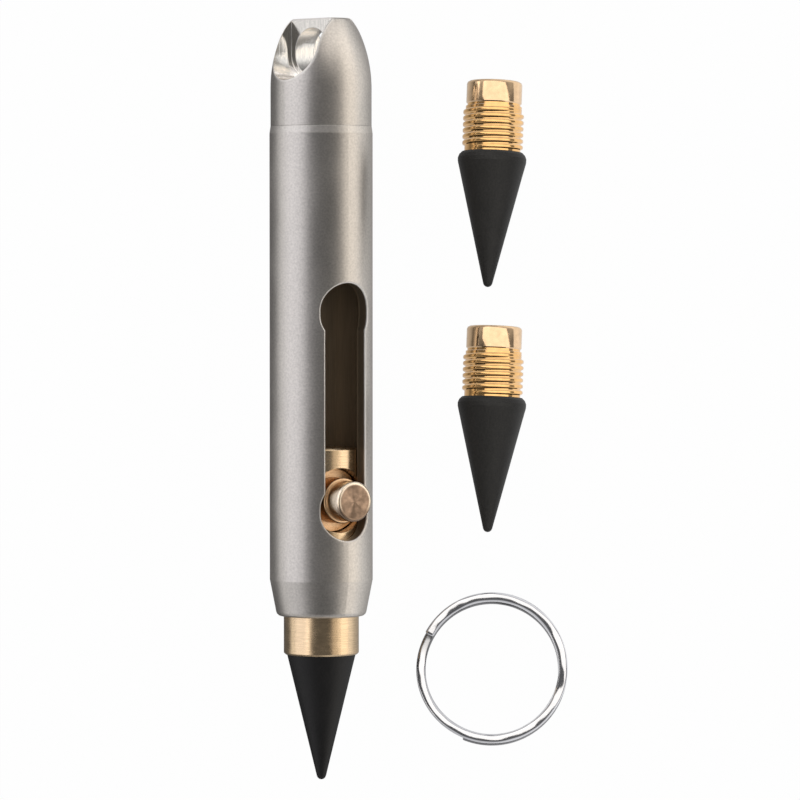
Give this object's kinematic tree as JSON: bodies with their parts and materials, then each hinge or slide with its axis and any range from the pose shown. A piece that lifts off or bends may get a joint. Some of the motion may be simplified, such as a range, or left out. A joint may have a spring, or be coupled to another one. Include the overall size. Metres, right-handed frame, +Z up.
{
  "type": "inkless metal pencil",
  "caption": "Short metal pencil with a graphite nib on a brass slider that locks out or in by a press button in the barrel's slot, with spare nibs and a split key ring.",
  "frame": {"origin": "middle of the laid-out kit's box, on the table", "axes": "+Y runs along the pencil from its nib to its tail, +Z is up from the table, +X points from the pencil to the spare nibs and the key ring"},
  "size_m": [0.029, 0.0738, 0.0111],
  "materials": {
    "blasted_metal": "bead blasted",
    "turned_brass": "turned",
    "polished_brass": "polished",
    "graphite": "matte",
    "spring_steel": "drawn wire",
    "polished_steel": "polished"
  },
  "bodies": {
    "barrel": {"barrel": "blasted_metal", "tail_cap": "blasted_metal", "key_ring": "polished_steel", "spare_nib_1_stub": "polished_brass", "spare_nib_1_cone": "graphite", "spare_nib_2_stub": "polished_brass", "spare_nib_2_cone": "graphite"},
    "slider": {"slider": "turned_brass", "button_spring": "spring_steel"},
    "lock_button": {"lock_button": "turned_brass"},
    "nib": {"nib_stub": "turned_brass", "nib_cone": "graphite"}
  },
  "joints": [
    {"name": "slider_slide", "type": "slide", "parent": "barrel", "child": "slider", "axis": [0, 1, 0], "range_m": [-0.00095, 0.0181]},
    {"name": "button_press", "type": "slide", "parent": "slider", "child": "lock_button", "axis": [-0.5417, 0, -0.8406], "range_m": [0, 0.0012], "stiffness_N_per_m": 800, "springref_m": -0.0012, "deforming": ["button_spring"]},
    {"name": "nib_unscrew", "type": "slide", "parent": "slider", "child": "nib", "axis": [0, -1, 0], "range_m": [0, 0.0078]}
  ]
}
